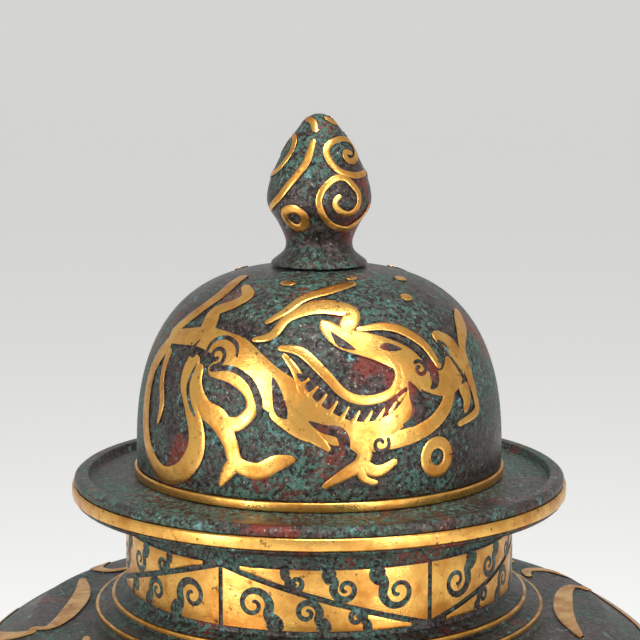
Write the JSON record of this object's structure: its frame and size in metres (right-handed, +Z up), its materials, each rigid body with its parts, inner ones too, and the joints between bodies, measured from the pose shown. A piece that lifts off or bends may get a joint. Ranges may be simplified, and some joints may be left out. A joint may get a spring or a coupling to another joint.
{
  "type": "ginger jar",
  "caption": "Round-bellied bronze ginger jar with a lift-off domed lid, a bud knob and gold inlay of dragons, volutes and bands.",
  "frame": {"origin": "centre of the foot's resting face", "axes": "+Z up along the jar's axis, the front looks along -Y, +X to the right"},
  "size_m": [0.203, 0.203, 0.3009],
  "materials": {
    "patinated_bronze": "dark patina with green and blue crusts",
    "gold_inlay": "worn burnished gold",
    "washer_metal": "dull bronze"
  },
  "bodies": {
    "jar": {"foot_band": "gold_inlay", "jar_body": "patinated_bronze", "lower_step_band": "gold_inlay", "neck_volute_1_lower": "gold_inlay", "neck_volute_1_upper": "gold_inlay", "neck_volute_2_lower": "gold_inlay", "neck_volute_2_upper": "gold_inlay", "neck_volute_3_lower": "gold_inlay", "neck_volute_3_upper": "gold_inlay", "neck_volute_4_lower": "gold_inlay", "neck_volute_4_upper": "gold_inlay", "neck_volute_5_lower": "gold_inlay", "neck_volute_5_upper": "gold_inlay", "neck_volute_6_lower": "gold_inlay", "neck_volute_6_upper": "gold_inlay", "shoulder_scroll_1": "gold_inlay", "shoulder_scroll_2": "gold_inlay", "shoulder_scroll_3": "gold_inlay", "shoulder_scroll_4": "gold_inlay", "shoulder_scroll_5": "gold_inlay", "shoulder_scroll_6": "gold_inlay", "upper_step_band": "gold_inlay"},
    "lid": {"back_dragon_branch": "gold_inlay", "back_dragon_chest": "gold_inlay", "back_dragon_feather": "gold_inlay", "back_dragon_foreleg": "gold_inlay", "back_dragon_hind_leg": "gold_inlay", "back_dragon_horn": "gold_inlay", "back_dragon_lower_wing": "gold_inlay", "back_dragon_neck": "gold_inlay", "back_dragon_side_band": "gold_inlay", "back_dragon_tail": "gold_inlay", "back_dragon_torso": "gold_inlay", "back_dragon_upper_wing": "gold_inlay", "back_knob_lower_spiral": "gold_inlay", "back_knob_sweep": "gold_inlay", "back_knob_upper_spiral": "gold_inlay", "back_pearl_ring": "gold_inlay", "brim_edge_band": "gold_inlay", "dome_base_band": "gold_inlay", "front_dragon_branch": "gold_inlay", "front_dragon_chest": "gold_inlay", "front_dragon_feather": "gold_inlay", "front_dragon_foreleg": "gold_inlay", "front_dragon_hind_leg": "gold_inlay", "front_dragon_horn": "gold_inlay", "front_dragon_lower_wing": "gold_inlay", "front_dragon_neck": "gold_inlay", "front_dragon_side_band": "gold_inlay", "front_dragon_tail": "gold_inlay", "front_dragon_torso": "gold_inlay", "front_dragon_upper_wing": "gold_inlay", "front_knob_lower_spiral": "gold_inlay", "front_knob_sweep": "gold_inlay", "front_knob_upper_spiral": "gold_inlay", "front_pearl_ring": "gold_inlay", "knob_washer": "washer_metal", "lid": "patinated_bronze", "lid_knob": "patinated_bronze"}
  },
  "joints": [
    {"name": "lid_lift", "type": "slide", "parent": "jar", "child": "lid", "axis": [0, 0, 1], "range_m": [0, 0.12]}
  ]
}
